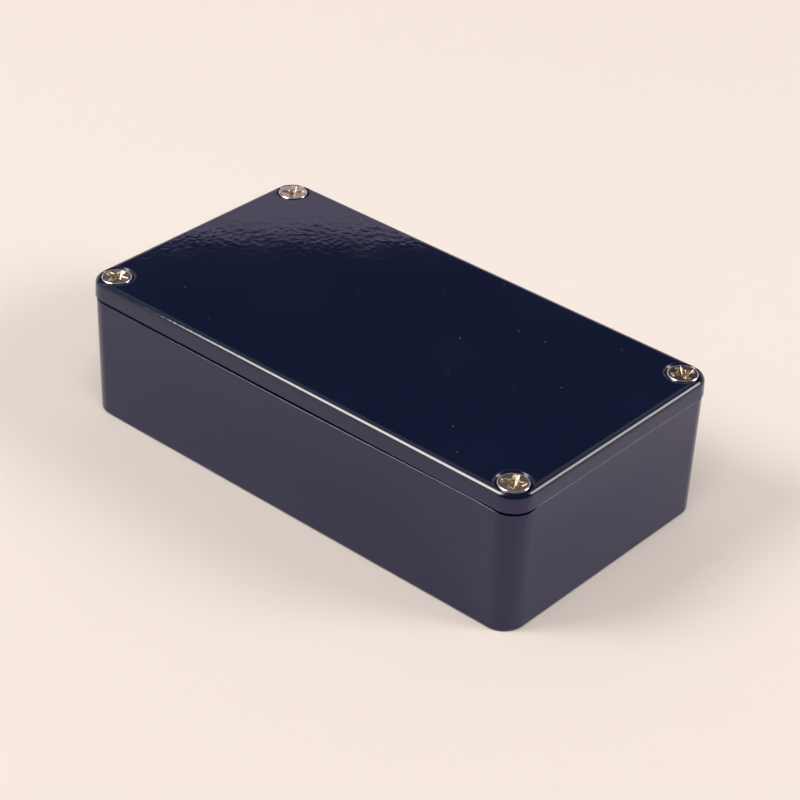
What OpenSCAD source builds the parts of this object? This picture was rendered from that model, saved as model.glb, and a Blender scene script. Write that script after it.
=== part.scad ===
// Rectangular die cast aluminium box: a drafted base, a flat lid and four countersunk screws.
// Millimetres. +X runs along the length, +Z points up, and the origin is the middle of the underside.

/* [Outside size] */
// Length over the lid, along X
box_length = 112.4; // [90:0.1:190]
// Width over the lid, along Y
box_width = 60.5; // [50:0.1:120]
// Height of the closed box
box_height = 31; // [26:0.1:80]

/* [Lid casting] */
// Height of the lid's side, from the joint to the top
lid_side = 3.9; // [3.4:0.1:6]
// Thickness of the lid's plate
lid_plate = 2; // [1.5:0.1:3]
// Radius of the lid's upright corners, at the joint
lid_corner_radius = 4.9; // [4.3:0.1:5.2]
// Rounding of the lid's top edge, as far as the countersinks leave room for it
lid_edge_radius = 0.75; // [0.3:0.05:1]
// How far each side of the lid leans in, from the joint to the top
lid_draft = 0.1; // [0:0.05:0.3]
// Thickness of the locating lip under the lid
lip_thickness = 1.3; // [0.8:0.1:2]
// How far the lip reaches down past the joint
lip_depth = 1.5; // [0.8:0.1:3]
// Gap between the lip and the inside of the base
lip_clearance = 0.3; // [0.15:0.05:0.6]

/* [Base casting] */
// Thickness of the walls, at the rim
wall = 2.2; // [1.6:0.05:3]
// Thickness of the floor
floor_thickness = 2; // [1.5:0.1:4]
// How far the base's rim stands back from the side of the lid
rim_setback = 0.15; // [0:0.05:0.4]
// Radius of the base's upright corners, at the rim
base_corner_radius = 5.5; // [4.5:0.1:7]
// Rounding of the rim's outer edge
rim_edge_radius = 0.25; // [0.1:0.05:0.5]
// Rounding of the edge under the floor
foot_edge_radius = 0.5; // [0.2:0.1:1.5]
// How far the outside of each wall leans in, from the rim to the underside
outer_draft = 0.2; // [0:0.05:0.8]
// How far the inside of each wall leans in, from the rim to the underside
inner_draft = 0.4; // [0:0.05:0.8]
// Fillet between the walls and the floor, inside
floor_fillet = 1; // [0.3:0.1:2]

/* [Screw bosses] */
// Distance from the sides of the lid to the screw axes
screw_inset = 4.55; // [4.4:0.05:6]
// Radius of the bosses' round side, about the screw axis
boss_radius = 3.6; // [3:0.1:4.5]
// Depth of the tapped holes, from the rim to their flat cored end
tapped_depth = 12; // [11:0.5:18]

/* [Screws] */
// Length over all, from the face of the head to the tip
screw_length = 12.7; // [9:0.1:14]
// Outer diameter of the thread
thread_diameter = 3.5; // [2.8:0.05:3.6]
// Diameter of the head
head_diameter = 6.3; // [5.8:0.05:6.6]
// Diameter at which the cone under the head would come to a sharp edge
head_sharp_diameter = 7.1; // [6.8:0.05:7.4]
// Included angle of the cone under the head
head_angle = 82; // [70:1:100]
// Rounding of the edge of the head's face
head_edge_radius = 0.12; // [0.05:0.01:0.25]
// Chamfer at the tip
tip_chamfer = 0.4; // [0.2:0.05:0.8]
// Width over the cross recess, at the face of the head
recess_span = 4.6; // [3.6:0.1:5]
// Thickness of one wing of the recess
recess_wing = 0.9; // [0.6:0.05:1.2]
// Depth of the recess
recess_depth = 1.9; // [1:0.1:2]
// Width over the recess at its bottom
recess_tip = 1.2; // [0.8:0.1:1.6]
// Turn of the recess about the screw axis, front left screw
front_left_turn = 13; // [0:1:90]
// The same, front right screw
front_right_turn = 24; // [0:1:90]
// The same, back left screw
back_left_turn = 38; // [0:1:90]
// The same, back right screw
back_right_turn = 60; // [0:1:90]

/* [Screw fits] */
// Gap all round between the screw's thread and the hole in the boss
thread_clearance = 0.05; // [0.02:0.01:0.1]
// Gap all round between the screw's thread and the hole in the lid
lid_hole_clearance = 0.3; // [0.2:0.05:0.5]
// Gap all round between the cone under the head and the countersink
seat_clearance = 0.05; // [0.02:0.01:0.1]

/* [Hidden] */

// Steps round a full circle, and along one rounded edge
$fn = 96;
EDGE_STEPS = 6;
// Length by which a cutter passes through a face
PASS = 1;

PAINT = [0.07, 0.1, 0.2];
STEEL = [0.72, 0.68, 0.6];

lid_x = box_length / 2;
lid_y = box_width / 2;
joint_z = box_height - lid_side;
rim_x = lid_x - rim_setback;
rim_y = lid_y - rim_setback;
inner_x = rim_x - wall;
inner_y = rim_y - wall;
inner_corner_radius = max(base_corner_radius - wall, inner_draft + floor_fillet);
plate_z = box_height - lid_plate;
screw_x = lid_x - screw_inset;
screw_y = lid_y - screw_inset;
thread_radius = thread_diameter / 2;
seat_slope = tan(head_angle / 2);
head_rim = (head_sharp_diameter - head_diameter) / 2 / seat_slope;
head_depth = (head_sharp_diameter / 2 - thread_radius) / seat_slope;
mouth_radius = head_sharp_diameter / 2 + seat_clearance;
lid_hole_radius = thread_radius + lid_hole_clearance;

// Flat width left between a countersink and the rounding of the lid's edge
MOUTH_LAND = 0.04;
side_room = screw_inset - mouth_radius;
corner_room = lid_corner_radius - max(lid_corner_radius - screw_inset, 0) * sqrt(2) - mouth_radius;
lid_edge = min(lid_edge_radius, min(side_room, corner_room) - lid_draft - MOUTH_LAND);

// Points of a rounded edge: centre [x, z], radius, first and last angle
function arc(centre, radius, from, to) = [
    for (i = [0:EDGE_STEPS])
        let (angle = from + (to - from) * i / EDGE_STEPS)
        centre + radius * [cos(angle), sin(angle)]
];

function reversed(points) = [for (i = [len(points) - 1:-1:0]) points[i]];

// The outline's points with x turned to the other side, in the opposite order
function mirrored(points) = [for (p = reversed(points)) [-p.x, p.y]];

function moved(points, along_x) = [for (p = points) p + [along_x, 0]];

// A solid with flat sides and round upright corners, whose side follows profile all the way round.
// profile holds [x, z] points from the bottom to the top, and x is counted from the corners' centres.
module drafted_block(centre_x, centre_y, profile) {
    along_x = moved(profile, centre_y);
    along_y = moved(profile, centre_x);
    bottom = [0, profile[0].y];
    top = [0, profile[len(profile) - 1].y];
    rotate([90, 0, 90])
        linear_extrude(2 * centre_x, center = true)
            polygon(concat(along_x, mirrored(along_x)));
    rotate([90, 0, 0])
        linear_extrude(2 * centre_y, center = true)
            polygon(concat(along_y, mirrored(along_y)));
    for (right = [0, 1], back = [0, 1])
        mirror([1 - right, 0, 0])
            mirror([0, 1 - back, 0])
                translate([centre_x, centre_y, 0])
                    rotate_extrude(angle = 90)
                        polygon(concat([bottom], profile, [top]));
}

// Places its children on the screw axis of one corner: side_x and side_y are -1 or 1
module at_corner(side_x, side_y) {
    translate([side_x * screw_x, side_y * screw_y, 0])
        children();
}

// Places its children at all four corners, turned so that +X and +Y point outwards
module at_each_corner() {
    for (side_x = [-1, 1], side_y = [-1, 1])
        at_corner(side_x, side_y)
            mirror([(1 - side_x) / 2, 0, 0])
                mirror([0, (1 - side_y) / 2, 0])
                    children();
}

// Plan of one boss, round towards the middle of the box and square towards its corner
module boss_plan(grow) {
    radius = boss_radius + grow;
    circle(radius);
    translate([0, -radius])
        square([screw_inset, radius + screw_inset]);
    translate([-radius, 0])
        square([radius + screw_inset, screw_inset]);
}

// Plan of the space inside the rim, drawn in by inset all the way round
module cavity_plan(inset) {
    difference() {
        square([2 * (inner_x - inset), 2 * (inner_y - inset)], center = true);
        at_each_corner()
            boss_plan(inset);
    }
}

// Side of the base, from its underside to its rim
function base_profile() =
    let (
        foot = foot_edge_radius,
        rim = rim_edge_radius,
        low = base_corner_radius - outer_draft
    )
    concat(
        arc([low - foot, foot], foot, -90, 0),
        arc([base_corner_radius - rim, joint_z - rim], rim, 0, 90)
    );

// Side of the space inside the base, from the floor to past the rim
function inner_profile() =
    let (low = inner_corner_radius - inner_draft)
    concat(
        arc([low - floor_fillet, floor_thickness + floor_fillet], floor_fillet, -90, 0),
        [[inner_corner_radius, joint_z], [inner_corner_radius, joint_z + PASS]]
    );

// Side of the lid, from the joint to its top
function lid_profile() =
    let (high = lid_corner_radius - lid_draft)
    concat(
        [[lid_corner_radius, joint_z]],
        arc([high - lid_edge, box_height - lid_edge], lid_edge, 0, 90)
    );

module tapped_hole() {
    translate([0, 0, joint_z - tapped_depth])
        cylinder(h = tapped_depth + PASS, r = thread_radius + thread_clearance);
}

module countersunk_hole() {
    depth = (mouth_radius - lid_hole_radius) / seat_slope;
    translate([0, 0, joint_z - PASS])
        cylinder(h = lid_side + 2 * PASS, r = lid_hole_radius);
    translate([0, 0, box_height - depth])
        cylinder(h = depth, r1 = lid_hole_radius, r2 = mouth_radius);
    translate([0, 0, box_height])
        cylinder(h = PASS, r = mouth_radius);
}

module base() {
    color(PAINT)
        difference() {
            drafted_block(rim_x - base_corner_radius, rim_y - base_corner_radius, base_profile());
            difference() {
                drafted_block(inner_x - inner_corner_radius, inner_y - inner_corner_radius, inner_profile());
                at_each_corner()
                    linear_extrude(box_height)
                        boss_plan(0);
            }
            at_each_corner()
                tapped_hole();
        }
}

module lid() {
    color(PAINT)
        difference() {
            union() {
                drafted_block(lid_x - lid_corner_radius, lid_y - lid_corner_radius, lid_profile());
                translate([0, 0, joint_z - lip_depth])
                    linear_extrude(lip_depth + lid_side / 2)
                        cavity_plan(lip_clearance);
            }
            translate([0, 0, joint_z - lip_depth - PASS])
                linear_extrude(plate_z - joint_z + lip_depth + PASS)
                    cavity_plan(lip_clearance + lip_thickness);
            at_each_corner()
                countersunk_hole();
        }
}

// Cross recess with its mouth at z = 0
module cross_recess() {
    depth = recess_depth + PASS;
    slope = (recess_span - recess_tip) / 2 / recess_depth;
    intersection() {
        translate([0, 0, -recess_depth])
            cylinder(h = depth, r1 = recess_tip / 2, r2 = recess_tip / 2 + slope * depth);
        for (turn = [0, 90])
            rotate(turn)
                cube([2 * recess_span, recess_wing, 2 * depth], center = true);
    }
}

// Flat head machine screw, with the face of its head at z = 0
module screw() {
    head = head_diameter / 2;
    edge = head_edge_radius;
    color(STEEL)
        difference() {
            rotate_extrude()
                polygon(concat(
                    [
                        [0, -screw_length],
                        [thread_radius - tip_chamfer, -screw_length],
                        [thread_radius, tip_chamfer - screw_length],
                        [thread_radius, -head_depth],
                        [head, -head_rim]
                    ],
                    arc([head - edge, -edge], edge, 0, 90),
                    [[0, 0]]
                ));
            cross_recess();
        }
}

module seated_screw(side_x, side_y, turn) {
    at_corner(side_x, side_y)
        translate([0, 0, box_height])
            rotate(turn)
                screw();
}

base();
lid();
seated_screw(-1, -1, front_left_turn);  // screw_front_left
seated_screw(1, -1, front_right_turn);  // screw_front_right
seated_screw(-1, 1, back_left_turn);  // screw_back_left
seated_screw(1, 1, back_right_turn);  // screw_back_right
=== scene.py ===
"""Looks of a die cast aluminium box: two painted castings, four plated screws, and the studio round them.

The castings and screws are modelled in millimetres and brought to metres when they are finished.
"""

from __future__ import annotations

import logging
import math
from collections.abc import Callable, Iterable, Iterator, Mapping, Sequence
from contextlib import contextmanager
from dataclasses import dataclass
from enum import Enum

import bmesh
import bpy
from mathutils import Matrix, Vector


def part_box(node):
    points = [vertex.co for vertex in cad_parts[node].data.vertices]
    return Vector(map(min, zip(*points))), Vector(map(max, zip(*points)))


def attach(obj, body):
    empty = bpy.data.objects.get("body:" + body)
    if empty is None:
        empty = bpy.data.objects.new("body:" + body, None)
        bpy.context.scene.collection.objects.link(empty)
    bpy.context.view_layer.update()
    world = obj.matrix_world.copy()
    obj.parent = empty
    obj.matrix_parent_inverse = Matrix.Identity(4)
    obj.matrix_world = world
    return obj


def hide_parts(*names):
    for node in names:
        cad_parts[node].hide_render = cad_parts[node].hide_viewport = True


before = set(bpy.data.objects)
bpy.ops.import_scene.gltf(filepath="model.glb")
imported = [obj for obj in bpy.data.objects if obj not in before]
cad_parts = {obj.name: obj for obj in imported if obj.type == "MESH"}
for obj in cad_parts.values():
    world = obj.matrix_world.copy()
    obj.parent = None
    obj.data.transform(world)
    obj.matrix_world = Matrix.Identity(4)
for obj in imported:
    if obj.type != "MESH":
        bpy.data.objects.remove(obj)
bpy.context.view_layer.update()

MM = 0.001
NEAR = 0.01
log = logging.getLogger("box")

Step = tuple[float, float]
Test = Callable[[Vector, Vector], bool]
Colour = tuple[float, float, float]


class Element(Enum):
    """What a selection in edit mode picks."""

    POINT = "VERT"
    EDGE = "EDGE"
    FACE = "FACE"


class Cut(Enum):
    """How one solid is combined with another."""

    TAKE_AWAY = "DIFFERENCE"
    JOIN = "UNION"
    KEEP_SHARED = "INTERSECT"


class Corner(Enum):
    """The four corners of the box: side along X, side along Y, and turn of the screw in degrees."""

    FRONT_LEFT = (-1, -1, 13.0)
    FRONT_RIGHT = (1, -1, 24.0)
    BACK_LEFT = (-1, 1, 38.0)
    BACK_RIGHT = (1, 1, 60.0)

    @property
    def side(self) -> tuple[int, int]:
        """Sides along X and Y, each -1 or 1."""
        return self.value[0], self.value[1]

    @property
    def turn(self) -> float:
        """Turn of the screw about its axis, in radians."""
        return math.radians(self.value[2])


def rounded(across: float, along: float, steps: int, start: float = 0.0) -> list[Step]:
    """Steps round a quarter of an ellipse, from a side to the face it turns into.

    Args:
        across: How far the edge reaches into the face.
        along: How far the edge reaches down the side.
        steps: Number of flats.
        start: Angle already turned, in degrees.

    Returns:
        (inward, along) for each step.
    """
    angles = [math.radians(start + (90 - start) * i / steps) for i in range(steps + 1)]
    points = [(across * (1 - math.cos(a)), along * math.sin(a)) for a in angles]
    return [(b[0] - a[0], b[1] - a[1]) for a, b in zip(points, points[1:])]


def flared(radius: float, steps: int, start: float, lead: float) -> list[Step]:
    """Steps down a cutter that leaves a rounded edge at the mouth of what it cuts.

    Args:
        radius: Radius of the rounded edge.
        steps: Number of flats.
        start: Slope at which the cutter passes the face, in degrees.
        lead: Height of the cutter above the face.

    Returns:
        (inward, along) for each step, from lead above the face down to the plain wall.
    """
    angles = [math.radians(start + (90 - start) * i / steps) for i in range(steps + 1)]
    points = [(radius * math.sin(a), radius * (1 - math.cos(a))) for a in angles]
    slope = math.tan(angles[0])
    drop = lead + points[0][1]
    return [(drop / slope, drop)] + [(b[0] - a[0], b[1] - a[1]) for a, b in zip(points, points[1:])]


def along_table(value: float, table: Sequence[Step]) -> float:
    """A value read from a table of (place, value) rows, straight between them.

    Args:
        value: The place.
        table: The rows, in order.

    Returns:
        The value there.
    """
    for low, high in zip(table, table[1:]):
        if value < high[0]:
            share = max((value - low[0]) / (high[0] - low[0]), 0.0)
            return low[1] + (high[1] - low[1]) * share
    return table[-1][1]


def anywhere(place: Vector, direction: Vector) -> bool:
    """Passes every element."""
    return True


def faces_down(place: Vector, normal: Vector) -> bool:
    """Passes faces that look down."""
    return normal.z < -0.9


class Workpiece:
    """One mesh in work, in millimetres until it is finished."""

    def __init__(self, name: str) -> None:
        """Takes the object that was just added."""
        self.obj = bpy.context.object
        self.obj.name = name

    @staticmethod
    def clear() -> None:
        """Deselects everything."""
        bpy.ops.object.select_all(action="DESELECT")

    def activate(self) -> None:
        """Makes the piece the active one, and the only one selected."""
        self.clear()
        self.obj.select_set(True)
        bpy.context.view_layer.objects.active = self.obj

    @classmethod
    def sheet(cls, name: str, half_x: float, half_y: float, height: float) -> Workpiece:
        """Starts from a flat rectangular sheet that faces up.

        Args:
            name: Name of the object.
            half_x: Half of the length.
            half_y: Half of the width.
            height: Height of the sheet.

        Returns:
            The sheet.
        """
        cls.clear()
        bpy.ops.mesh.primitive_plane_add(size=2)
        piece = cls(name)
        with piece.edit(Element.FACE):
            bpy.ops.mesh.select_all(action="SELECT")
            bpy.ops.transform.resize(value=(half_x, half_y, 1))
            bpy.ops.transform.translate(value=(0, 0, height))
        return piece

    @classmethod
    def disc(cls, name: str, radius: float, height: float, sides: int) -> Workpiece:
        """Starts from a round disc that faces up.

        Args:
            name: Name of the object.
            radius: Radius of the disc.
            height: Height of the disc.
            sides: Number of sides.

        Returns:
            The disc.
        """
        cls.clear()
        bpy.ops.mesh.primitive_circle_add(vertices=sides, radius=radius, fill_type="NGON")
        piece = cls(name)
        with piece.edit(Element.FACE):
            bpy.ops.mesh.select_all(action="SELECT")
            bpy.ops.mesh.normals_make_consistent(inside=False)
            bpy.ops.transform.translate(value=(0, 0, height))
            if piece.mesh_in_work().faces[:][0].normal.z < 0:
                bpy.ops.mesh.flip_normals()
        return piece

    @contextmanager
    def edit(self, element: Element) -> Iterator[None]:
        """Opens the mesh in edit mode with nothing selected.

        Args:
            element: What selections pick.
        """
        self.activate()
        bpy.ops.object.mode_set(mode="EDIT")
        self.pick_kind(element)
        yield
        bpy.ops.object.mode_set(mode="OBJECT")

    def mesh_in_work(self) -> bmesh.types.BMesh:
        """The mesh that edit mode holds."""
        return bmesh.from_edit_mesh(self.obj.data)

    @staticmethod
    def pick_kind(element: Element) -> None:
        """Deselects everything and sets what selections pick."""
        bpy.ops.mesh.select_mode(type=element.value)
        bpy.ops.mesh.select_all(action="DESELECT")

    def pick(self, element: Element, test: Test = anywhere) -> None:
        """Selects by place and direction.

        Args:
            element: What to pick.
            test: Takes the middle of an element, and its normal, or its direction for an edge.
        """
        self.pick_kind(element)
        mesh = self.mesh_in_work()
        if element is Element.POINT:
            found = [(v, v.co, v.normal) for v in mesh.verts]
        elif element is Element.EDGE:
            ends = [(e, e.verts[0].co, e.verts[1].co) for e in mesh.edges]
            found = [(e, (a + b) / 2, (b - a).normalized()) for e, a, b in ends]
        else:
            found = [(f, f.calc_center_median(), f.normal) for f in mesh.faces]
        for item, middle, direction in found:
            if test(middle, direction):
                item.select_set(True)
        mesh.select_flush_mode()
        bmesh.update_edit_mesh(self.obj.data)

    @staticmethod
    def draw(steps: Iterable[Step]) -> None:
        """Draws the selected face in and along its normal, once for each step."""
        for inward, along in steps:
            if inward > 0:
                bpy.ops.mesh.inset(thickness=inward, depth=along)
            else:
                bpy.ops.mesh.extrude_region_shrink_fatten(TRANSFORM_OT_shrink_fatten={"value": along})

    def close_back(self) -> None:
        """Closes the open boundary and leaves the new face selected, facing outwards."""
        self.pick_kind(Element.EDGE)
        bpy.ops.mesh.select_non_manifold(
            extend=False, use_wire=False, use_multi_face=False, use_non_contiguous=False, use_verts=False
        )
        bpy.ops.mesh.edge_face_add()
        chosen = {f.index for f in self.faces() if f.select}
        bpy.ops.mesh.select_all(action="SELECT")
        bpy.ops.mesh.normals_make_consistent(inside=False)
        self.pick_kind(Element.FACE)
        for face in self.faces():
            face.select_set(face.index in chosen)
        bmesh.update_edit_mesh(self.obj.data)

    def solid(self, steps: Iterable[Step], turn_over: bool = True) -> None:
        """Draws a flat sheet out into a closed solid.

        Args:
            steps: (inward, along) for each step.
            turn_over: Whether it is drawn from the back of the sheet.
        """
        with self.edit(Element.FACE):
            self.pick(Element.FACE)
            if turn_over:
                bpy.ops.mesh.flip_normals()
            self.draw(steps)
            self.close_back()

    def close_loop(self, test: Test) -> None:
        """Closes the open edges that pass the test with one face.

        Args:
            test: Which open edges, by the place of either end.
        """
        self.pick_kind(Element.EDGE)
        for edge in self.mesh_in_work().edges:
            if edge.is_boundary and any(test(point.co, point.normal) for point in edge.verts):
                edge.select_set(True)
        bmesh.update_edit_mesh(self.obj.data)
        bpy.ops.mesh.edge_face_add()

    def faces(self) -> bmesh.types.BMFaceSeq:
        """Faces in edit mode, with their indices in order."""
        mesh = self.mesh_in_work()
        mesh.faces.ensure_lookup_table()
        mesh.faces.index_update()
        return mesh.faces

    def round_corners(self, radius: float, steps: int, test: Test = anywhere) -> None:
        """Rounds the corners of a flat sheet that pass the test."""
        self.pick(Element.POINT, test)
        bpy.ops.mesh.bevel(affect="VERTICES", offset=radius, segments=steps, profile=0.5)

    def place(self, centre: Sequence[float], turn: float = 0.0) -> None:
        """Turns the mesh about Z, in radians, and moves its origin to the centre."""
        self.obj.data.transform(Matrix.Translation(Vector(centre)) @ Matrix.Rotation(turn, 4, "Z"))

    def copy(self, name: str) -> Workpiece:
        """A copy with a mesh of its own.

        Args:
            name: Name of the copy.

        Returns:
            The copy.
        """
        self.activate()
        bpy.ops.object.duplicate(linked=False)
        return Workpiece(name)

    def combine(self, tool: Workpiece, cut: Cut) -> None:
        """Combines the piece with another one, which is used up.

        Args:
            tool: The other piece.
            cut: How they are combined.
        """
        modifier = self.obj.modifiers.new(cut.name, "BOOLEAN")
        modifier.operation = cut.value
        modifier.solver = "EXACT"
        modifier.object = tool.obj
        modifier.material_mode = "TRANSFER"
        self.apply(modifier)
        tool.discard()

    def apply(self, modifier: bpy.types.Modifier) -> None:
        """Applies a modifier of the piece."""
        self.activate()
        bpy.ops.object.modifier_apply(modifier=modifier.name)

    def discard(self) -> None:
        """Removes the piece."""
        bpy.data.meshes.remove(self.obj.data)

    def paint(self, material: bpy.types.Material) -> None:
        """Gives the whole piece one finish."""
        self.obj.data.materials.clear()
        self.obj.data.materials.append(material)

    def finish(self, crease: float) -> bpy.types.Object:
        """Brings the piece to metres and smooths it.

        Args:
            crease: Angle above which an edge stays sharp, in degrees.

        Returns:
            The finished object.
        """
        with self.edit(Element.FACE):
            bpy.ops.mesh.select_all(action="SELECT")
            bpy.ops.mesh.remove_doubles(threshold=0.0005)
            bpy.ops.mesh.dissolve_degenerate(threshold=0.0005)
            bpy.ops.transform.resize(value=(MM, MM, MM), center_override=(0, 0, 0))
        bpy.ops.object.shade_smooth_by_angle(angle=math.radians(crease), keep_sharp_edges=False)
        modifier = self.obj.modifiers.new("even", "WEIGHTED_NORMAL")
        modifier.mode = "FACE_AREA"
        modifier.weight = 50
        modifier.keep_sharp = True
        self.apply(modifier)
        return self.obj


class Signal:
    """A value in a node tree, for arithmetic written as Python."""

    def __init__(self, desk: NodeDesk, socket: bpy.types.NodeSocket) -> None:
        """Wraps one output socket."""
        self.desk = desk
        self.socket = socket

    def _math(self, operation: str, *values: Signal | float) -> Signal:
        """Adds a Math node."""
        return self.desk.add("ShaderNodeMath", {"operation": operation}, dict(enumerate(values)))

    def __add__(self, other: Signal | float) -> Signal:
        """Sum."""
        return self._math("ADD", self, other)

    def __radd__(self, other: float) -> Signal:
        """Sum, from the right."""
        return self._math("ADD", other, self)

    def __sub__(self, other: Signal | float) -> Signal:
        """Difference."""
        return self._math("SUBTRACT", self, other)

    def __rsub__(self, other: float) -> Signal:
        """Difference, from the right."""
        return self._math("SUBTRACT", other, self)

    def __mul__(self, other: Signal | float) -> Signal:
        """Product."""
        return self._math("MULTIPLY", self, other)

    def __rmul__(self, other: float) -> Signal:
        """Product, from the right."""
        return self._math("MULTIPLY", other, self)

    def __truediv__(self, other: Signal | float) -> Signal:
        """Quotient."""
        return self._math("DIVIDE", self, other)

    def __pow__(self, other: float) -> Signal:
        """Power."""
        return self._math("POWER", self, other)

    def __abs__(self) -> Signal:
        """Size without sign."""
        return self._math("ABSOLUTE", self)

    def rise(self, low: float, high: float) -> Signal:
        """A smooth step.

        Args:
            low: Value at which it leaves 0.
            high: Value at which it reaches 1.

        Returns:
            The step.
        """
        values = {0: self, 1: min(low, high), 2: max(low, high)}
        if low > high:
            values |= {3: 1.0, 4: 0.0}
        return self.desk.add("ShaderNodeMapRange", {"interpolation_type": "SMOOTHSTEP"}, values)


class NodeDesk:
    """Adds nodes to one tree."""

    def __init__(self, tree: bpy.types.NodeTree) -> None:
        """Starts from an empty tree."""
        self.tree = tree
        tree.nodes.clear()

    def add(
        self,
        kind: str,
        settings: Mapping[str, object] | None = None,
        values: Mapping[str | int, object] | None = None,
        output: str | int = 0,
    ) -> Signal:
        """Adds one node.

        Args:
            kind: Type of the node.
            settings: Its settings, which are set first.
            values: Values or links of its input sockets.
            output: The output that is wanted.

        Returns:
            The output.
        """
        node = self.tree.nodes.new(kind)
        for name, value in (settings or {}).items():
            setattr(node, name, value)
        for name, value in (values or {}).items():
            socket = node.inputs[name]
            if isinstance(value, Signal):
                self.tree.links.new(value.socket, socket)
            elif isinstance(value, tuple) and socket.type == "RGBA":
                socket.default_value = (*value, 1.0)
            else:
                socket.default_value = value
        outputs = node.outputs
        return Signal(self, outputs[output] if outputs else None)

    def blend(self, factor: Signal | float, low: Signal | Colour, high: Signal | Colour) -> Signal:
        """Mixes two colours, from the first at 0 to the second at 1."""
        return self.add("ShaderNodeMix", {"data_type": "RGBA"}, {0: factor, 6: low, 7: high}, 2)

    def place(self) -> Signal:
        """Place on the object."""
        return self.add("ShaderNodeTexCoord", output="Object")

    def axes(self, place: Signal) -> tuple[Signal, Signal, Signal]:
        """The X, Y and Z of a place."""
        node = self.add("ShaderNodeSeparateXYZ", values={0: place}).socket.node
        return tuple(Signal(self, socket) for socket in node.outputs)

    def noise(self, place: Signal, size: float, detail: float = 0.0, rough: float = 0.5) -> Signal:
        """Soft noise about 0.5, with lumps of a size in millimetres and finer layers of detail."""
        values = {"Vector": place, "Scale": 1 / (size * MM), "Detail": detail, "Roughness": rough}
        return self.add("ShaderNodeTexNoise", values=values)

    def from_screw(self, place: Signal, axis: Step) -> Signal:
        """Distance from the axis of the nearest screw, in millimetres.

        Args:
            place: Where it is read.
            axis: X and Y of the axis of the screw at the back right, in millimetres.

        Returns:
            The distance.
        """
        x, y, _ = self.axes(place)
        across, along = abs(x) / MM - axis[0], abs(y) / MM - axis[1]
        return (across * across + along * along) ** 0.5

    def bump(self, height: Signal, depth: float, below: Signal | None = None) -> Signal:
        """Turns a height into a normal.

        Args:
            height: Height from 0 to 1.
            depth: Depth of the relief, in millimetres.
            below: A normal that this one is laid over.

        Returns:
            The normal.
        """
        values: dict[str | int, object] = {"Strength": 1.0, "Distance": depth * MM, "Height": height}
        if below is not None:
            values["Normal"] = below
        return self.add("ShaderNodeBump", values=values)

    def surface(self, values: Mapping[str | int, object]) -> None:
        """Closes a material with a Principled shader and the values or links of its sockets."""
        shader = self.add("ShaderNodeBsdfPrincipled", values=values)
        self.add("ShaderNodeOutputMaterial", values={"Surface": shader})


def new_desk(name: str) -> tuple[bpy.types.Material, NodeDesk]:
    """A new material and the desk for its nodes."""
    material = bpy.data.materials.new(name)
    material.use_nodes = True
    return material, NodeDesk(material.node_tree)


@dataclass(frozen=True)
class GlossPaint:
    """Dark blue gloss paint with a light orange peel and a little settled dust.

    Sizes in millimetres. The top has colour and tint in patches. The sides are painted lighter and bluer
    as painted light, for the brighter light that falls on them, and the paint pressed into the countersinks
    is duller.
    """

    colour: Colour = (0.0032, 0.0060, 0.0235)
    tint: Colour = (0.0042, 0.0072, 0.0262)
    dust: Colour = (0.45, 0.45, 0.48)
    gloss: float = 0.045
    index: float = 1.5
    # painted light: a lighter, bluer colour for the sides, for the brighter light that falls on them
    side: Colour = (0.0045, 0.0075, 0.0480)
    painted_side_light_from: float = 30.4
    painted_side_light_full: float = 29.4
    peel_size: float = 1.4
    peel_depth: float = 0.009
    swell_size: float = 7.0
    swell_depth: float = 0.012
    speck_gap: float = 6.5
    speck_radius: float = 0.12
    speck_core: float = 0.4
    speck_chance: Step = (0.72, 0.98)
    speck_level: Step = (30.8, 30.95)
    pressed: Step = (4.06, 3.92)
    haze_rough: float = 0.02
    speck_rough: float = 0.4
    pressed_rough: float = 0.15
    axis: Step = (51.65, 25.7)

    def relief(self, desk: NodeDesk, place: Signal) -> Signal:
        """The normal of the painted surface at a place on the object."""
        swell = desk.bump(desk.noise(place, self.swell_size), self.swell_depth)
        return desk.bump(desk.noise(place, self.peel_size, 1.0, 0.4), self.peel_depth, swell)

    def specks(self, desk: NodeDesk, place: Signal) -> Signal:
        """Mask of the dust specks.

        Args:
            desk: Where the nodes go.
            place: Place on the object.

        Returns:
            1 on a speck.
        """
        settings = {"feature": "F1", "voronoi_dimensions": "2D"}
        near = desk.add("ShaderNodeTexVoronoi", settings, {"Vector": place, "Scale": 1 / (self.speck_gap * MM)})
        chance = desk.axes(Signal(desk, near.socket.node.outputs["Color"]))[0]
        radius = self.speck_radius / self.speck_gap
        level = (desk.axes(place)[2] / MM).rise(*self.speck_level)
        return near.rise(radius, radius * self.speck_core) * chance.rise(*self.speck_chance) * level

    def build(self) -> bpy.types.Material:
        """Makes the material."""
        material, desk = new_desk("navy_gloss_paint")
        place = desk.place()
        specks = self.specks(desk, place)
        patches = desk.noise(place, 24.0, 2.0)
        upper = desk.blend(patches.rise(0.35, 0.65), self.colour, self.tint)
        height = desk.axes(place)[2] / MM
        # painted light: below the rounded top edge the colour turns to the lighter, bluer side colour
        colour = desk.blend(height.rise(self.painted_side_light_from, self.painted_side_light_full), upper, self.side)
        haze = desk.noise(place, 11.0, 3.0, 0.6).rise(0.45, 0.75)
        pressed = desk.from_screw(place, self.axis).rise(*self.pressed)
        dull = haze * self.haze_rough + specks * self.speck_rough + pressed * self.pressed_rough
        desk.surface(
            {
                "Base Color": desk.blend(specks, colour, self.dust),
                "Roughness": self.gloss + dull,
                "IOR": self.index,
                "Normal": self.relief(desk, place),
            }
        )
        return material


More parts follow.
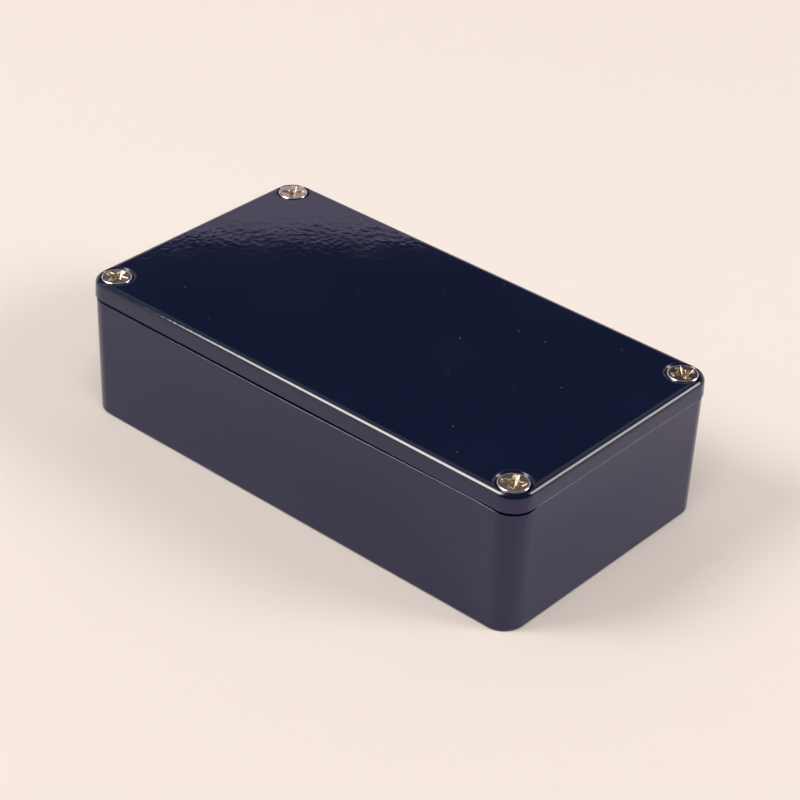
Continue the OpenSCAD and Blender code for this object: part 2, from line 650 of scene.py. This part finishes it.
@dataclass(frozen=True)
class BareCasting:
    """Bare die cast aluminium, with paint that has drifted over it near the joint. Sizes in millimetres."""

    name: str
    drift_full: float
    drift_end: float
    metal: Colour = (0.50, 0.505, 0.51)
    shade: Colour = (0.36, 0.365, 0.375)
    paint: Colour = (0.0065, 0.0110, 0.0350)

    def build(self) -> bpy.types.Material:
        """Makes the material."""
        material, desk = new_desk(self.name)
        place = desk.place()
        height = desk.axes(place)[2] / MM
        ragged = (desk.noise(place, 2.4, 3.0, 0.7) - 0.5) * 3.0
        drift = (height + ragged).rise(self.drift_end, self.drift_full)
        flow = desk.noise(place, 9.0, 4.0, 0.6)
        grain = desk.noise(place, 0.35, 2.0)
        metal = desk.blend(flow.rise(0.35, 0.68), self.metal, self.shade)
        desk.surface(
            {
                "Base Color": desk.blend(drift, metal, self.paint),
                "Metallic": 1 - drift,
                "Roughness": 0.42 + (flow - 0.5) * 0.25 - drift * 0.2,
                "Normal": desk.bump(grain, 0.012, desk.bump(flow, 0.05)),
            }
        )
        return material


@dataclass(frozen=True)
class NickelPlate:
    """Bright nickel over steel, with a dull haze, fine marks from handling and a painted highlight on its rim.

    Sizes in millimetres.
    """

    name: str = "nickel_plate"
    metal: Colour = (0.60, 0.53, 0.44)
    haze: Colour = (0.46, 0.38, 0.39)
    gloss: float = 0.10
    blur: float = 0.06
    plate: float = 1.0
    relief: float = 0.004
    grain: float = 0.9
    # painted highlight: a pale, near white band round the rounded rim of each head brightens its glints
    rim: Colour = (0.98, 0.90, 0.89)
    painted_highlight_band: Step = (2.72, 2.92)
    axis: Step = (51.65, 25.7)

    def build(self) -> bpy.types.Material:
        """Makes the material."""
        material, desk = new_desk(self.name)
        place = desk.place()
        stain = desk.noise(place, self.grain, 3.0, 0.6)
        colour = desk.blend(stain.rise(0.4, 0.7), self.metal, self.haze)
        # painted highlight: the pale rim colour over the band round the edge of the head
        colour = desk.blend(desk.from_screw(place, self.axis).rise(*self.painted_highlight_band), colour, self.rim)
        stretch = desk.add("ShaderNodeMapping", values={"Vector": place, "Scale": (1.0, 1.0, 0.15)})
        marks = desk.noise(stretch, 0.16, 2.0, 0.6)
        desk.surface(
            {
                "Base Color": colour,
                "Metallic": self.plate,
                "Roughness": self.gloss + stain.rise(0.35, 0.7) * self.blur,
                "Normal": desk.bump(marks, self.relief, desk.bump(stain, self.relief * 2)),
            }
        )
        return material


@dataclass(frozen=True)
class MattBackdrop:
    """Pale matt paper under and round the box. Metres, along the way to the front.

    Painted light and shade: the paper is painted paler at the back and darker and bluer up the wall.
    """

    name: str = "pale_paper"
    # painted light and shade: the paper is painted darker at the front and paler at the back, as the light
    # falls
    front: Colour = (0.765, 0.690, 0.638)
    back: Colour = (0.785, 0.715, 0.664)
    # painted shade: the wall is painted darker and bluer than the floor, for the dimmer light on it
    wall: Colour = (0.52, 0.47, 0.62)
    forward: tuple[float, float, float] = (0.643, -0.766, 0.0)

    def build(self) -> bpy.types.Material:
        """Makes the material."""
        material, desk = new_desk(self.name)
        place = desk.place()
        mottle = desk.noise(place, 38.0, 3.0, 0.55) - 0.5
        along = {0: place, 1: self.forward}
        forward = desk.add("ShaderNodeVectorMath", {"operation": "DOT_PRODUCT"}, along, "Value")
        height = desk.axes(place)[2]
        # painted light: the paper turns paler towards the back
        paper = desk.blend((forward + mottle * 0.05).rise(0.045, -0.075), self.front, self.back)
        # painted shade: the paper turns to the darker, bluer wall colour as it rises
        paper = desk.blend(height.rise(0.05, 0.15), paper, self.wall)
        desk.surface({"Base Color": paper, "Roughness": 0.9, "Specular IOR Level": 0.2})
        return material


@dataclass
class BoxPlan:
    """Sizes that the castings and the screws share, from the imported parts. Millimetres."""

    lid_side: float = 3.9
    lid_plate: float = 2.0
    wall: float = 2.27
    rim_setback: float = 0.08
    screw_inset: float = 4.55
    boss_radius: float = 3.6
    boss_fillet: float = 1.6
    boss_steps: int = 14
    fillet_steps: int = 6
    sides_round: int = 72

    def __post_init__(self) -> None:
        """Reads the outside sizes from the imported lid."""
        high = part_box("lid")[1] / MM
        self.half_x, self.half_y, self.top = high
        self.joint = self.top - self.lid_side
        self.rim_x = self.half_x - self.rim_setback
        self.rim_y = self.half_y - self.rim_setback
        self.inner_x = self.rim_x - self.wall
        self.inner_y = self.rim_y - self.wall
        self.screw_x = self.half_x - self.screw_inset
        self.screw_y = self.half_y - self.screw_inset

    def axis(self, corner: Corner, height: float = 0.0) -> tuple[float, float, float]:
        """The point of a corner's screw axis at a height."""
        return corner.side[0] * self.screw_x, corner.side[1] * self.screw_y, height

    def cavity(self, name: str, inset: float, height: float, fillet: float | None = None) -> Workpiece:
        """A sheet with the plan of the space between the walls and the bosses, facing down.

        Args:
            name: Name of the sheet.
            inset: How far it is drawn in all round; less than 0 draws it out.
            height: Height of the sheet.
            fillet: Radius where the bosses meet the walls, if it isn't the plan's own.

        Returns:
            The sheet.
        """
        radius = self.boss_radius + inset
        notch_x, notch_y = self.screw_x - radius, self.screw_y - radius
        wall_x, wall_y = self.inner_x - inset, self.inner_y - inset

        def at(place: Vector, x: float, y: float) -> bool:
            """Whether a place lies at X and Y, on either side of the middle."""
            return abs(abs(place.x) - x) < NEAR and abs(abs(place.y) - y) < NEAR

        def at_wall(place: Vector, _: Vector) -> bool:
            """Whether a place is an end of a boss on a wall."""
            return at(place, notch_x, wall_y) or at(place, wall_x, notch_y)

        piece = Workpiece.sheet(name, wall_x, wall_y, height)
        with piece.edit(Element.FACE):
            for co, no in (((notch_x, 0, 0), (1, 0, 0)), ((0, notch_y, 0), (0, 1, 0))):
                for side in (-1, 1):
                    bpy.ops.mesh.select_all(action="SELECT")
                    bpy.ops.mesh.bisect(plane_co=[side * c for c in co], plane_no=no)
            piece.pick(Element.FACE, lambda place, _: abs(place.x) > notch_x and abs(place.y) > notch_y)
            bpy.ops.mesh.delete(type="FACE")
            bpy.ops.mesh.select_all(action="SELECT")
            bpy.ops.mesh.dissolve_faces()
            piece.round_corners(radius, self.boss_steps, lambda place, _: at(place, notch_x, notch_y))
            piece.round_corners(fillet or self.boss_fillet - inset, self.fillet_steps, at_wall)
            piece.pick(Element.FACE)
            bpy.ops.mesh.flip_normals()
        return piece


@dataclass
class ThreadRod:
    """A long rod with a screw thread, from which screws and tapped holes are cut. Millimetres."""

    crest: float = 1.75
    root: float = 1.34
    pitch: float = 0.794
    flat: float = 0.1
    low: float = -18.0
    turns: int = 21
    steps: int = 28

    def build(self, name: str) -> Workpiece:
        """Makes the rod on the Z axis.

        Args:
            name: Name of the rod.

        Returns:
            The rod.
        """
        Workpiece.clear()
        bpy.ops.mesh.primitive_plane_add(size=2)
        rod = Workpiece(name)
        with rod.edit(Element.FACE):
            bpy.ops.mesh.select_all(action="SELECT")
            bpy.ops.mesh.delete(type="ONLY_FACE")
            rod.pick(Element.EDGE, lambda place, _: place.x < -NEAR)
            bpy.ops.mesh.delete(type="EDGE")
            middle = self.pitch / 2
            for point in rod.mesh_in_work().verts:
                right = point.co.x > 0
                upper = point.co.y > 0
                rise = (self.flat / 2 if right else middle) * (1 if upper else -1)
                point.co = (self.crest if right else self.root, 0, self.low + middle + rise)
        modifier = rod.obj.modifiers.new("thread", "SCREW")
        modifier.axis = "Z"
        modifier.screw_offset = self.pitch
        modifier.iterations = self.turns
        modifier.steps = modifier.render_steps = self.steps
        modifier.use_merge_vertices = False
        rod.apply(modifier)
        with rod.edit(Element.POINT):
            bpy.ops.mesh.select_all(action="SELECT")
            bpy.ops.mesh.remove_doubles(threshold=0.002)
            middle = self.low + self.pitch * self.turns / 2
            for low_end in (True, False):
                rod.close_loop(
                    lambda place, _: (place.z < middle) == low_end and place.xy.length > self.root + NEAR
                )
                rod.close_loop(lambda place, _: (place.z < middle) == low_end)
            bpy.ops.mesh.select_all(action="SELECT")
            bpy.ops.mesh.normals_make_consistent(inside=False)
        return rod


@dataclass
class TappedHole:
    """Cuts the thread of one screw into its boss. Millimetres."""

    plan: BoxPlan
    depth: float = 12.0
    looseness: float = 1.05
    reach: float = 2.6
    above: float = 1.0
    point: Step = (0.35, 0.5)
    mouth: float = 2.15
    lead: float = 0.3
    mouth_steps: tuple[Step, ...] = ((0.75, 0.62), (0.4, 0.2))

    def cutter(self, rod: Workpiece, corner: Corner) -> Workpiece:
        """Makes the solid that is taken out of the boss.

        Args:
            rod: The threaded rod.
            corner: Which boss.

        Returns:
            The cutter, in place.
        """
        head = self.plan.top
        tap = rod.copy("tap")
        with tap.edit(Element.FACE):
            bpy.ops.mesh.select_all(action="SELECT")
            bpy.ops.transform.resize(value=(self.looseness, self.looseness, 1), center_override=(0, 0, 0))
        rim, sides = self.plan.joint - head, self.plan.sides_round
        reach = Workpiece.disc("reach", self.reach, rim + self.above, sides)
        reach.solid([(0, self.depth + self.above - self.point[1]), self.point])
        tap.combine(reach, Cut.KEEP_SHARED)
        mouth = Workpiece.disc("mouth", self.mouth + self.lead, rim + self.lead, sides)
        mouth.solid([(self.lead, self.lead), *self.mouth_steps])
        tap.combine(mouth, Cut.JOIN)
        tap.place(self.plan.axis(corner, head), corner.turn)
        return tap


@dataclass
class BaseCasting:
    """The tray of the box: drafted walls, four bosses and a flat floor. Millimetres."""

    plan: BoxPlan
    paint: bpy.types.Material
    bare: bpy.types.Material
    floor: float = 2.0
    corner_radius: float = 5.2
    corner_steps: int = 18
    rim_radius: float = 0.16
    ledge: float = 1.1
    ledge_drop: float = 0.05
    ledge_wear: float = 0.62
    foot_radius: float = 0.6
    outer_draft: float = 0.40
    inner_draft: float = 0.4
    floor_fillet: float = 1.0
    mouth_radius: float = 0.25
    mark_radius: float = 2.0
    mark_depth: float = 0.12
    mark_lead: float = 0.05
    mark_draft: float = 0.1
    marks: tuple[Step, ...] = ((-34, 0), (34, 0), (0, 19), (0, -19))
    right_gap: tuple[Step, ...] = ((-26, 0.7), (-23, 0.06), (0, 0.0), (20, 0.05), (28, 0.3))
    front_gap: tuple[Step, ...] = (
        (-56, 0.8), (-48, 0.7), (-30, 0.95), (2, 1.0), (22, 0.75), (40, 0.4), (48, 0.3), (52, 0.85),
    )
    other_gap: float = 0.5
    right_strip: float = 4.0
    front_reach: float = -20.0
    cuts_x: tuple[float, ...] = (-48, -30, -14, 2, 12, 22, 31, 40, 46)
    cuts_y: tuple[float, ...] = (-23, -12, 0, 12, 22)
    lead: float = 0.2
    mouth_slope: float = 15.0

    def gap(self, place: Vector) -> float:
        """How open the joint is at a place on the outline.

        Args:
            place: The place.

        Returns:
            0 where it is shut, 1 where the ledge is worn down in full.
        """
        if place.x > self.plan.rim_x - self.right_strip and place.y > self.right_gap[0][0]:
            return along_table(place.y, self.right_gap)
        if place.y < self.front_reach:
            return along_table(place.x, self.front_gap)
        return self.other_gap

    def outside(self) -> Workpiece:
        """Makes the solid block of the base, with a low ledge round its rim and a rounded foot.

        Returns:
            The block.
        """
        plan = self.plan
        low = plan.joint - self.ledge_drop - self.rim_radius
        shell = Workpiece.sheet("base_casting", plan.rim_x, plan.rim_y, low)
        with shell.edit(Element.FACE):
            shell.round_corners(self.corner_radius, self.corner_steps)
            shell.pick(Element.FACE)
            shell.draw(rounded(self.rim_radius, self.rim_radius, 5))
            shell.draw([(self.ledge, 0), (0, self.ledge_drop)])
            shell.close_back()
            shell.draw([(self.outer_draft, low - self.foot_radius)])
            shell.draw(rounded(self.foot_radius, self.foot_radius, 6))
            for axis, cuts in (((1, 0, 0), self.cuts_x), ((0, 1, 0), self.cuts_y)):
                for cut in cuts:
                    bpy.ops.mesh.select_all(action="SELECT")
                    bpy.ops.mesh.bisect(plane_co=[cut * share for share in axis], plane_no=axis)
            for point in shell.mesh_in_work().verts:
                if low - NEAR < point.co.z < plan.joint - NEAR:
                    point.co.z -= self.ledge_wear * self.gap(point.co)
        shell.paint(self.paint)
        return shell

    def inside(self) -> Workpiece:
        """Makes the solid that is taken out between the walls and the bosses.

        Returns:
            The solid.
        """
        plan = self.plan
        steps = flared(self.mouth_radius, 5, self.mouth_slope, self.lead)
        reach = sum(inward for inward, _ in steps)
        hollow = plan.cavity("hollow", -reach, plan.joint + self.lead)
        deep = plan.joint - self.mouth_radius - self.floor - self.floor_fillet
        foot = rounded(self.floor_fillet, self.floor_fillet, 6)
        hollow.solid(steps + [(self.inner_draft, deep)] + foot, turn_over=False)
        hollow.paint(self.bare)
        return hollow

    def mark(self, place: Step) -> Workpiece:
        """Makes the cutter for the round mark of one ejector pin in the floor.

        Args:
            place: X and Y of the pin.

        Returns:
            The cutter, in place.
        """
        lead = self.mark_lead
        pin = Workpiece.disc("pin", self.mark_radius + lead, self.floor + lead, 40)
        pin.solid([(self.mark_draft, lead + self.mark_depth)])
        pin.place((*place, 0))
        pin.paint(self.bare)
        return pin

    def build(self, rod: Workpiece) -> bpy.types.Object:
        """Makes the base.

        Args:
            rod: The threaded rod for its tapped holes.

        Returns:
            The finished base.
        """
        shell = self.outside()
        shell.combine(self.inside(), Cut.TAKE_AWAY)
        for place in self.marks:
            shell.combine(self.mark(place), Cut.TAKE_AWAY)
        hole = TappedHole(self.plan)
        for corner in Corner:
            tap = hole.cutter(rod, corner)
            tap.paint(self.bare)
            shell.combine(tap, Cut.TAKE_AWAY)
        return shell.finish(32.0)


@dataclass
class LidCasting:
    """The lid: a flat plate with a rounded edge, a locating lip below and four countersinks. Millimetres."""

    plan: BoxPlan
    paint: bpy.types.Material
    bare: bpy.types.Material
    corner_radius: float = 4.9
    corner_steps: int = 18
    edge_across: float = 1.5
    edge_down: float = 1.28
    draft: float = 0.1
    seat_radius: float = 0.12
    lip_gap: float = 0.3
    lip: float = 1.3
    lip_depth: float = 1.5
    mouth: float = 3.74
    mouth_round: float = 0.24
    mouth_slope: float = 9.0
    mouth_steps: int = 5
    hole: float = 2.05
    seat_angle: float = 41.0
    above: float = 0.06
    below: float = 5.0
    lip_start: float = 0.8
    lip_draft: float = 0.04
    lip_edge: float = 0.3
    recess_start: float = 0.15
    recess_steps: tuple[Step, ...] = ((0.15, 0.15), (0.08, 0.2))
    recess_draft: float = 0.03
    recess_edge: float = 0.3
    recess_fillet: float = 0.6

    def outside(self) -> Workpiece:
        """Makes the solid slab of the lid, with its rounded top edge.

        Returns:
            The slab.
        """
        plan = self.plan
        slab = Workpiece.sheet("lid_casting", plan.half_x, plan.half_y, plan.joint + self.seat_radius)
        with slab.edit(Element.FACE):
            slab.round_corners(self.corner_radius, self.corner_steps)
            slab.pick(Element.FACE)
            height = plan.lid_side - self.seat_radius - self.edge_down
            slab.draw([(self.draft, height)] + rounded(self.edge_across, self.edge_down, 12))
            slab.close_back()
            slab.draw(rounded(self.seat_radius, self.seat_radius, 4))
        slab.paint(self.paint)
        return slab

    def locating_lip(self) -> Workpiece:
        """Makes the solid that reaches down into the base.

        Returns:
            The solid.
        """
        lip = self.plan.cavity("lip", self.lip_gap, self.plan.joint + self.lip_start)
        side = self.lip_draft, self.lip_start + self.lip_depth - self.lip_edge
        lip.solid([side] + rounded(self.lip_edge, self.lip_edge, 4), turn_over=False)
        lip.paint(self.bare)
        return lip

    def recess(self) -> Workpiece:
        """Makes the solid that is taken out under the plate, inside the lip.

        Returns:
            The solid.
        """
        plan = self.plan
        low = plan.joint - self.lip_depth
        inset = self.lip_gap + self.lip - self.recess_edge
        sheet = plan.cavity("recess", inset, low - self.recess_start, self.recess_fillet)
        taken = self.recess_steps[1][1] + self.recess_edge
        side = self.recess_draft, plan.top - plan.lid_plate - low - taken
        sheet.solid([*self.recess_steps, side] + rounded(self.recess_edge, self.recess_edge, 4))
        sheet.paint(self.bare)
        return sheet

    def countersink(self, corner: Corner) -> Workpiece:
        """Makes the cutter of one countersunk hole, with a rounded mouth.

        Args:
            corner: Which hole.

        Returns:
            The cutter, in place.
        """
        top, slope = self.plan.top, math.tan(math.radians(self.seat_angle))
        turn = 90 - self.seat_angle
        middle = self.mouth + self.mouth_round * math.tan(math.radians(turn / 2))
        points = []
        for i in range(self.mouth_steps + 1):
            share = i / self.mouth_steps
            angle = math.radians(90 + self.mouth_slope + (turn - self.mouth_slope) * share)
            across = middle + self.mouth_round * math.cos(angle)
            points.append((across, top - self.mouth_round * (1 - math.sin(angle))))
        across, height = points[0]
        start = top + self.above
        points.insert(0, (across + (start - height) / math.tan(math.radians(self.mouth_slope)), start))
        points.append((self.hole, top - (self.mouth - self.hole) / slope))
        steps = [(a[0] - b[0], a[1] - b[1]) for a, b in zip(points, points[1:])]
        tool = Workpiece.disc("countersink", *points[0], self.plan.sides_round)
        tool.solid(steps + [(0, self.below)])
        tool.place(self.plan.axis(corner))
        tool.paint(self.paint)
        return tool

    def build(self) -> bpy.types.Object:
        """Makes the lid."""
        slab = self.outside()
        slab.combine(self.locating_lip(), Cut.JOIN)
        slab.combine(self.recess(), Cut.TAKE_AWAY)
        for corner in Corner:
            slab.combine(self.countersink(corner), Cut.TAKE_AWAY)
        return slab.finish(32.0)


@dataclass
class MachineScrew:
    """A flat head machine screw with a cross recess, face of the head at zero. Millimetres."""

    plan: BoxPlan
    metal: bpy.types.Material
    # the recess finish carries painted reflection and painted shade in golden-brown colours
    recess_metal: bpy.types.Material
    length: float = 12.7
    head: float = 3.08
    head_sharp: float = 3.55
    edge: float = 0.28
    seat_angle: float = 41.0
    neck: float = 1.5
    span: float = 4.6
    wing: float = 1.05
    recess_depth: float = 1.5
    recess_tip: float = 1.3
    recess_mouth: float = 0.11
    recess_uneven: float = 0.03
    tip_share: float = 0.72
    blade_edge: float = 0.12
    above: float = 0.2
    core: float = 1.12
    core_turn: float = 5.0
    core_steps: tuple[Step, ...] = ((0.35, -0.2), (0.45, 0.35))
    neck_steps: tuple[Step, ...] = ((0, 0.35), (0.3, 0.1))
    shank: float = 2.2
    shank_top: float = 2.0
    point: Step = (0.95, 0.85)

    def cross(self) -> list[Workpiece]:
        """Makes the cutters of the cross recess: two tapered blades and a cone between them.

        Returns:
            The cutters, which are taken out one after another.
        """
        flare = self.above + self.recess_mouth
        half = self.span / 2
        cutters = []
        for turn, depth in ((0.0, self.recess_depth), (math.pi / 2, self.recess_depth - self.recess_uneven)):
            blade = Workpiece.sheet("blade", half + flare, self.wing / 2 + flare, self.above)
            with blade.edit(Element.FACE):
                blade.pick(Element.FACE)
                bpy.ops.mesh.flip_normals()
                blade.draw([(flare, flare), (0, depth - self.recess_mouth)])
                blade.pick(Element.FACE, faces_down)
                shares = self.recess_tip / 2 / half, self.tip_share, 1
                bpy.ops.transform.resize(value=shares, center_override=(0, 0, -depth))
                blade.close_back()
                blade.pick(Element.EDGE, lambda place, along: abs(along.z) > 0.3 or place.z < 0.1 - depth)
                bpy.ops.mesh.bevel(offset=self.blade_edge, segments=3, profile=0.5)
            blade.place((0, 0, 0), turn)
            cutters.append(blade)
        core = Workpiece.disc("core", self.core + flare, self.above, 30)
        (inward, along), tip = self.core_steps
        core.solid([(flare, flare), (inward, self.recess_depth - self.recess_mouth + along), tip])
        core.place((0, 0, 0), math.radians(self.core_turn))
        cutters.append(core)
        for cutter in cutters:
            cutter.paint(self.recess_metal)
        return cutters

    def build(self, rod: Workpiece) -> Workpiece:
        """Makes one screw on the Z axis.

        Args:
            rod: The threaded rod.

        Returns:
            The screw.
        """
        slope = math.tan(math.radians(self.seat_angle))
        rim = (self.head_sharp - self.head) / slope
        screw = Workpiece.disc("screw", self.head, -rim, self.plan.sides_round)
        with screw.edit(Element.FACE):
            screw.pick(Element.FACE)
            screw.draw([(0, rim - self.edge)] + rounded(self.edge, self.edge, 6))
            screw.pick(Element.FACE, faces_down)
            screw.draw([(self.head - self.neck, (self.head - self.neck) / slope), *self.neck_steps])
        shank = rod.copy("shank")
        reach = Workpiece.disc("reach", self.shank, -self.shank_top, self.plan.sides_round)
        reach.solid([(0, self.length - self.shank_top - self.point[1]), self.point])
        shank.combine(reach, Cut.KEEP_SHARED)
        screw.combine(shank, Cut.JOIN)
        screw.paint(self.metal)
        for cutter in self.cross():
            screw.combine(cutter, Cut.TAKE_AWAY)
        return screw


class Outline(Enum):
    """The outline of a lamp."""

    ELLIPSE = "ELLIPSE"
    RECTANGLE = "RECTANGLE"


class Sees(Enum):
    """What light a lamp gives: both kinds, only what is scattered, or only what is mirrored."""

    ALL = (True, True)
    SCATTER = (True, False)
    MIRROR = (False, True)


@dataclass
class Lamp:
    """A soft lamp that faces a point on the box. Metres."""

    name: str
    place: Vector
    width: float
    height: float
    radiance: float
    sees: Sees = Sees.ALL
    shape: Outline = Outline.ELLIPSE
    colour: Colour = (1.0, 0.97, 0.94)
    aim: tuple[float, float, float] | None = (0.0, 0.0, 0.02)

    def build(self) -> None:
        """Adds the lamp; one without an aim faces straight down."""
        bpy.ops.object.light_add(type="AREA", location=self.place)
        lamp = bpy.context.object
        lamp.name = self.name
        lamp.data.shape = self.shape.value
        lamp.data.size = self.width
        lamp.data.size_y = self.height
        lamp.data.color = self.colour
        area = self.width * self.height * (math.pi / 4 if self.shape is Outline.ELLIPSE else 1.0)
        lamp.data.energy = self.radiance * math.pi * area
        lamp.visible_camera = False
        lamp.visible_diffuse, lamp.visible_glossy = self.sees.value
        lamp.rotation_mode = "QUATERNION"
        if self.aim is None:
            lamp.rotation_quaternion = Matrix.Rotation(self.turn(), 4, "Z").to_quaternion()
        else:
            lamp.rotation_quaternion = (self.place - Vector(self.aim)).to_track_quat("Z", "Y")

    def turn(self) -> float:
        """Turn about Z that lays the height of a level lamp along its direction from the box."""
        return math.atan2(self.place.y, self.place.x) - math.pi / 2


def towards(azimuth: float, elevation: float, distance: float) -> Vector:
    """A point in a direction from the box.

    Args:
        azimuth: Degrees from the front of the box, growing towards its right.
        elevation: Degrees above the floor.
        distance: Distance from the middle of the lid.

    Returns:
        The point.
    """
    turn, rise = math.radians(azimuth), math.radians(elevation)
    ray = Vector((math.sin(turn) * math.cos(rise), -math.cos(turn) * math.cos(rise), math.sin(rise)))
    return ray * distance + Vector((0, 0, 0.03))


@dataclass
class Studio:
    """A pale sheet that rises behind the box, soft lamps and a room. Metres and degrees."""

    floor_radius: float = 0.46
    wall_radius: float = 0.60
    wall_height: float = 0.345
    wall_azimuth: float = -140.0
    wall_full: float = 42.0
    wall_end: float = 66.0
    cove_steps: int = 10
    backdrop: Colour = (0.86, 0.79, 0.75)
    dark: Colour = (0.035, 0.035, 0.04)
    pale_below: float = 0.12
    dark_above: float = 0.30

    def sweep(self, material: bpy.types.Material) -> None:
        """Makes the floor and the wall that it turns up into behind the box, as one sheet.

        Args:
            material: Its finish.
        """
        floor = Workpiece.disc("studio_floor", self.wall_radius, self.wall_height, 128)
        cove = self.wall_radius - self.floor_radius
        middle = math.radians(self.wall_azimuth)
        back = Vector((math.sin(middle), -math.cos(middle)))
        with floor.edit(Element.FACE):
            floor.pick(Element.FACE)
            floor.draw([(0.001, -(self.wall_height - cove))])
            floor.draw([(inward, -along) for inward, along in rounded(cove, cove, self.cove_steps)])
            for point in floor.mesh_in_work().verts:
                away = math.degrees(back.angle(point.co.xy, 0.0))
                share = min(max((self.wall_end - away) / (self.wall_end - self.wall_full), 0.0), 1.0)
                point.co.z *= share * share * (3 - 2 * share)
        floor.obj.data.shade_smooth()
        floor.paint(material)

    def lamps(self) -> list[Lamp]:
        """The lamps.

        Returns:
            The lamps, of which some only light and some only show in reflections.
        """
        flat = Outline.RECTANGLE
        return [
            Lamp("front_fill", towards(40.0, 68.0, 1.30), 0.75, 0.75, 4.8, Sees.SCATTER, flat),
            Lamp("ceiling_panel", Vector((-0.327, 0.235, 0.58)), 1.10, 0.54, 0.42, shape=flat, aim=None),
            Lamp("left_panel", towards(-45.0, 20.0, 0.75), 0.80, 0.54, 0.60, Sees.MIRROR, flat),
            Lamp("right_panel", towards(135.0, 20.0, 0.75), 0.60, 0.54, 0.12, Sees.MIRROR, flat),
            Lamp("key_lamp", towards(-39.0, 45.0, 1.20), 0.56, 0.56, 9.6),
            Lamp("key_glow", towards(-43.5, 54.0, 1.199), 0.68, 0.58, 9.8, Sees.MIRROR),
            Lamp("side_lamp", towards(118.0, 30.0, 1.20), 0.60, 0.40, 13.4, Sees.SCATTER),
            Lamp("side_glow", towards(139.0, 29.5, 1.20), 0.50, 0.54, 8.2, Sees.MIRROR),
        ]

    def world(self) -> None:
        """Sets a room that is pale round the horizon and dark overhead, the same for every ray."""
        world = bpy.data.worlds.new("studio_world")
        bpy.context.scene.world = world
        world.use_nodes = True
        desk = NodeDesk(world.node_tree)
        height = desk.axes(desk.add("ShaderNodeTexCoord", output="Generated"))[2]
        shade = desk.blend(height.rise(self.pale_below, self.dark_above), self.backdrop, self.dark)
        glow = desk.add("ShaderNodeBackground", values={"Color": shade, "Strength": 1.0})
        desk.add("ShaderNodeOutputWorld", values={"Surface": glow})

    def build(self, material: bpy.types.Material) -> None:
        """Adds floor, lamps and world, and sets the colour management.

        Args:
            material: Finish of the floor.
        """
        self.sweep(material)
        for lamp in self.lamps():
            lamp.build()
            log.info("lamp %s", lamp.name)
        self.world()
        bpy.context.scene.view_settings.view_transform = "Standard"


@dataclass
class Camera:
    """The camera, by its direction from the box. Degrees, and metres."""

    azimuth: float = 40.11
    elevation: float = 32.87
    roll: float = 2.55
    distance: float = 0.4846
    aim: tuple[float, float, float] = (0.003364, -0.000851, 0.014995)
    lens: float = 109.44

    def build(self) -> None:
        """Adds the camera and makes it the scene's."""
        azimuth, elevation, roll = (math.radians(a) for a in (self.azimuth, self.elevation, self.roll))
        level = math.cos(elevation)
        back = Vector((math.sin(azimuth) * level, -math.cos(azimuth) * level, math.sin(elevation)))
        right = Vector((0, 0, 1)).cross(back).normalized()
        up = back.cross(right)
        across = right * math.cos(roll) + up * math.sin(roll)
        upward = up * math.cos(roll) - right * math.sin(roll)
        bpy.ops.object.camera_add()
        camera = bpy.context.object
        camera.name = "camera"
        turn = Matrix((across, upward, back)).transposed().to_4x4()
        camera.matrix_world = Matrix.Translation(Vector(self.aim) + back * self.distance) @ turn
        camera.data.lens = self.lens
        camera.data.sensor_width = 36.0
        camera.data.clip_start = 0.01
        bpy.context.scene.camera = camera


def report(piece: bpy.types.Object) -> None:
    """Logs a finished piece."""
    log.info("%s: %d faces", piece.name, len(piece.data.polygons))


def main() -> None:
    """Builds the box, its looks and its studio."""
    logging.basicConfig(level=logging.INFO, format="%(message)s")
    plan = BoxPlan()
    axis = plan.screw_x, plan.screw_y
    paint = GlossPaint(axis=axis).build()
    rod = ThreadRod().build("rod")

    base = BaseCasting(plan, paint, BareCasting("bare_base", 26.6, 24.2).build()).build(rod)
    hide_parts("base")
    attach(base, "base")
    report(base)

    lid = LidCasting(plan, paint, BareCasting("bare_lid", 25.4, 23.0).build()).build()
    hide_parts("lid")
    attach(lid, "lid")
    report(lid)

    nickel = NickelPlate(axis=axis).build()
    # painted reflection and painted shade: the recess gets golden-brown, partly matt colours that the head
    # lacks, standing in for the golden light and the shade seen down it
    recess = NickelPlate(
        "recess_plate",
        metal=(0.60, 0.50, 0.38),
        haze=(0.19, 0.135, 0.08),
        blur=0.12,
        plate=0.8,
        relief=0.04,
        grain=0.4,
        axis=axis,
    ).build()
    pattern = MachineScrew(plan, nickel, recess).build(rod)
    for corner in Corner:
        node = f"screw_{corner.name.lower()}"
        piece = pattern.copy(f"machine_{node}")
        piece.place(plan.axis(corner, plan.top), corner.turn)
        screw = piece.finish(30.0)
        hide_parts(node)
        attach(screw, node)
        report(screw)
    pattern.discard()
    rod.discard()

    Studio().build(MattBackdrop().build())
    Camera().build()


if __name__ == "__main__":
    main()
